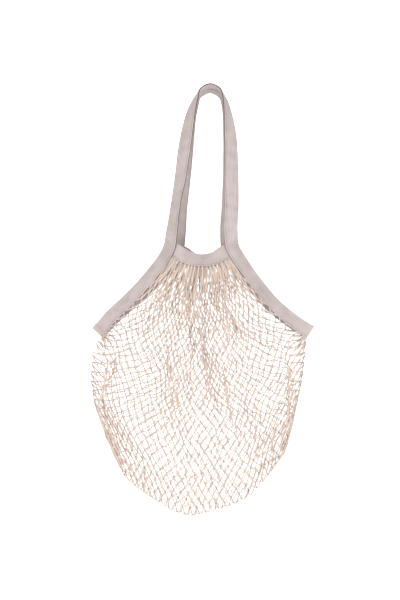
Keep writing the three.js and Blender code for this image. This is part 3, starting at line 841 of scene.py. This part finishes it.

# %% [markdown]
# ## Finishes
# Both finishes are matt cotton, made of noise and of stripes counted along and round each piece by its UV
# map, so they follow a tape or a string wherever it goes. The stripes also darken the grooves between ribs,
# knit loops and plies: painted shade. Shader maths reads best as plain sums, so one small class wraps a
# socket and adds a Math node for each operator. Every other node comes from one method.


# %% Shader helpers
class Value:
    """A socket that takes part in sums: + - * / ** on it add Math nodes."""

    def __init__(self, material, socket):
        self.material, self.socket = material, socket

    def maths(self, operation, *others):
        values = dict(enumerate((self, *others)))
        return self.material.node("ShaderNodeMath", {"operation": operation}, values)

    def __add__(self, other):
        return self.maths("ADD", other)

    def __sub__(self, other):
        return self.maths("SUBTRACT", other)

    def __mul__(self, other):
        return self.maths("MULTIPLY", other)

    def __truediv__(self, other):
        return self.maths("DIVIDE", other)

    def __pow__(self, other):
        return self.maths("POWER", other)

    def __rsub__(self, other):
        return (self * -1) + other

    __radd__, __rmul__ = __add__, __mul__


class Finish:
    """A node material under construction."""

    def __init__(self, name):
        self.material = bpy.data.materials.new(name)
        self.material.use_nodes = True
        self.tree = self.material.node_tree
        self.tree.nodes.clear()

    def node(self, kind, settings=None, inputs=None, output=0):
        """A node of a type, with its settings made first and its sockets then filled or linked."""
        made = self.tree.nodes.new(kind)
        for key, value in (settings or {}).items():
            if key == "stops":
                ramp = made.color_ramp
                while len(ramp.elements) < len(value):
                    ramp.elements.new(0.5)
                for element, (place, colour) in zip(ramp.elements, value):
                    element.position = place
                    element.color = (*colour, 1)
            else:
                setattr(made, key, value)
        for key, value in (inputs or {}).items():
            socket = made.inputs[key]
            if isinstance(value, Value):
                self.tree.links.new(value.socket, socket)
            else:
                socket.default_value = value
        return Value(self, made.outputs[output])

    def surface(self, **inputs):
        """The shader of the finish, with its sockets named with spaces written as low lines."""
        named = {key.replace("_", " "): value for key, value in inputs.items()}
        shader = self.node("ShaderNodeBsdfPrincipled", None, named)
        out = self.tree.nodes.new("ShaderNodeOutputMaterial")
        self.tree.links.new(shader.socket, out.inputs["Surface"])
        return self.material


# %% Knitted cotton tape
def knitted_tape(name):
    """Pale ecru knitted cotton: chevron loops on ribs, fuzz, mottling; painted shade in rib valleys, loop gaps,
    seam, slit.
    """
    m = Finish(name)
    uv = m.node("ShaderNodeUVMap", {"uv_map": "UVMap"})
    split = m.node("ShaderNodeSeparateXYZ", None, {0: uv})
    along = split
    around = Value(m, split.socket.node.outputs[1])
    rib = (around / (TAPE_WIDTH / RIBS)).maths("PINGPONG", 0.5)
    # painted shade: a thin darker line along the seam's dip, for the shade in the groove the stitches draw in
    seam = (1 - (around - (TAPE_WIDTH - SEAM_INSET)).maths("ABSOLUTE") / (0.9 * MM)).maths("MAXIMUM", 0.0)
    # painted shade: deep in the slit between the tape's two layers the colour drops to the ramp's near-black
    # first stop
    slit = ((around - TAPE_WIDTH + 0.3 * MM) / (0.6 * MM)).maths("MAXIMUM", 0.0).maths("MINIMUM", 1.0)
    loops = (along / (2.3 * MM) + rib * 1.1).maths("FRACT")
    chevron = (loops * 2 - 1).maths("ABSOLUTE")
    chevron = 1 - chevron ** 2.0
    wale = (rib * 2) ** 0.6
    place = m.node("ShaderNodeTexCoord", None, None, output=3)
    fuzz = m.node("ShaderNodeTexNoise", None, {"Vector": place, "Scale": 1900.0, "Detail": 3.0})
    mottle = m.node("ShaderNodeTexNoise", None, {"Vector": place, "Scale": 55.0, "Detail": 4.0})
    knit = chevron * wale
    height = knit * 0.75 + fuzz * 0.35
    # colour index: fuzz and mottle are the cotton's own random tone; wale and knit are painted shade, darker in
    # the rib valleys and between the knit loops
    tone_and_shade = wale * 0.42 + knit * 0.2 + fuzz * 0.2 + mottle * 0.5 - seam * 0.25 - slit * 1.0 - 0.08
    # the near-black first stop is where the painted shade of the slit lands; the upper stops are the tape's
    # ecru
    colour = m.node("ShaderNodeValToRGB", {"stops": (
        (0.0, (0.09, 0.062, 0.050)),
        (0.25, (0.20, 0.160, 0.150)),
        (0.5, (0.365, 0.310, 0.298)),
        (0.85, (0.49, 0.425, 0.410)),
    )}, {0: tone_and_shade})
    bump = m.node("ShaderNodeBump", None, {"Strength": 0.55, "Distance": 0.0006, "Height": height})
    return m.surface(
        Base_Color=colour, Roughness=0.95, Normal=bump, Sheen_Weight=0.25, Sheen_Roughness=0.6,
        Specular_IOR_Level=0.2,
    )


# %% Twisted cotton string
def cotton_string(name):
    """Cream string: slanting plies as ridges round it, painted shade in their grooves, fuzz and slow tone
    changes.
    """
    m = Finish(name)
    uv = m.node("ShaderNodeUVMap", {"uv_map": "UVMap"})
    split = m.node("ShaderNodeSeparateXYZ", None, {0: uv})
    around = Value(m, split.socket.node.outputs[1])
    turn = math.pi * STRING_THICKNESS
    plies = (split / (1.6 * MM) + around / turn * 2).maths("FRACT")
    ridge = 1 - ((plies * 2 - 1).maths("ABSOLUTE")) ** 2.0
    place = m.node("ShaderNodeTexCoord", None, None, output=3)
    fuzz = m.node("ShaderNodeTexNoise", None, {"Vector": place, "Scale": 2300.0, "Detail": 2.0})
    mottle = m.node("ShaderNodeTexNoise", None, {"Vector": place, "Scale": 38.0, "Detail": 3.0})
    # painted shade: ridge darkens the grooves between the plies; fuzz and mottle are the string's own random
    # tone
    tone_and_shade = ridge * 0.35 + fuzz * 0.25 + mottle * 0.55
    colour = m.node("ShaderNodeValToRGB", {"stops": (
        (0.2, (0.33, 0.250, 0.210)),
        (0.5, (0.51, 0.405, 0.350)),
        (0.85, (0.63, 0.525, 0.465)),
    )}, {0: tone_and_shade})
    bump = m.node("ShaderNodeBump", None, {"Strength": 0.5, "Distance": 0.0004, "Height": ridge + fuzz * 0.4})
    return m.surface(
        Base_Color=colour, Roughness=0.9, Normal=bump, Sheen_Weight=0.2, Sheen_Roughness=0.6,
        Specular_IOR_Level=0.25,
    )


tape_finish = knitted_tape("knitted_tape")
string_finish = cotton_string("cotton_string")
for piece in (strap_loop, corner_lap, seam_thread, *rim_bands):
    piece.data.materials.append(tape_finish)
    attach(piece, "root")
for piece in net_pieces:
    piece.data.materials.append(string_finish)
    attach(piece, "root")
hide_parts("strap_loop")
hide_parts("front_rim_band")
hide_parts("back_rim_band")
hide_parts("net_body")
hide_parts("net_body")

# %% [markdown]
# ## The floor
# A pale sweep: a flat floor that bends up into a wall behind. It stands well below the bag, which hangs.

# %% Sweep
FLOOR_Z = -1.02


def sweep(width=8.0, front=-3.0, bend=1.6, radius=0.8, height=3.0):
    """A floor line that turns through a quarter circle into a wall, drawn out sideways."""
    angle = np.linspace(0, np.pi / 2, 24)
    y = np.concatenate([[front], bend + radius * np.sin(angle), [bend + radius]])
    z = np.concatenate([[0], radius * (1 - np.cos(angle)), [height]]) + FLOOR_Z
    x = np.array([-width / 2, width / 2])
    points = np.stack(np.broadcast_arrays(x[:, None], y, z), -1).reshape(-1, 3)
    n = len(y)
    k = np.arange(n - 1)
    faces = np.stack([k, k + n, k + n + 1, k + 1], -1)
    mesh = bpy.data.meshes.new("floor_sweep")
    mesh.from_pydata(points.tolist(), [], faces.tolist())
    mesh.polygons.foreach_set("use_smooth", np.ones(len(faces), bool))
    mesh.update()
    made = bpy.data.objects.new("floor_sweep", mesh)
    bpy.context.scene.collection.objects.link(made)
    return made


floor = sweep()
paper = Finish("white_paper")
floor.data.materials.append(paper.surface(
    Base_Color=(0.95, 0.95, 0.95, 1), Roughness=1.0, Emission_Color=(1, 1, 1, 1), Emission_Strength=0.75,
))
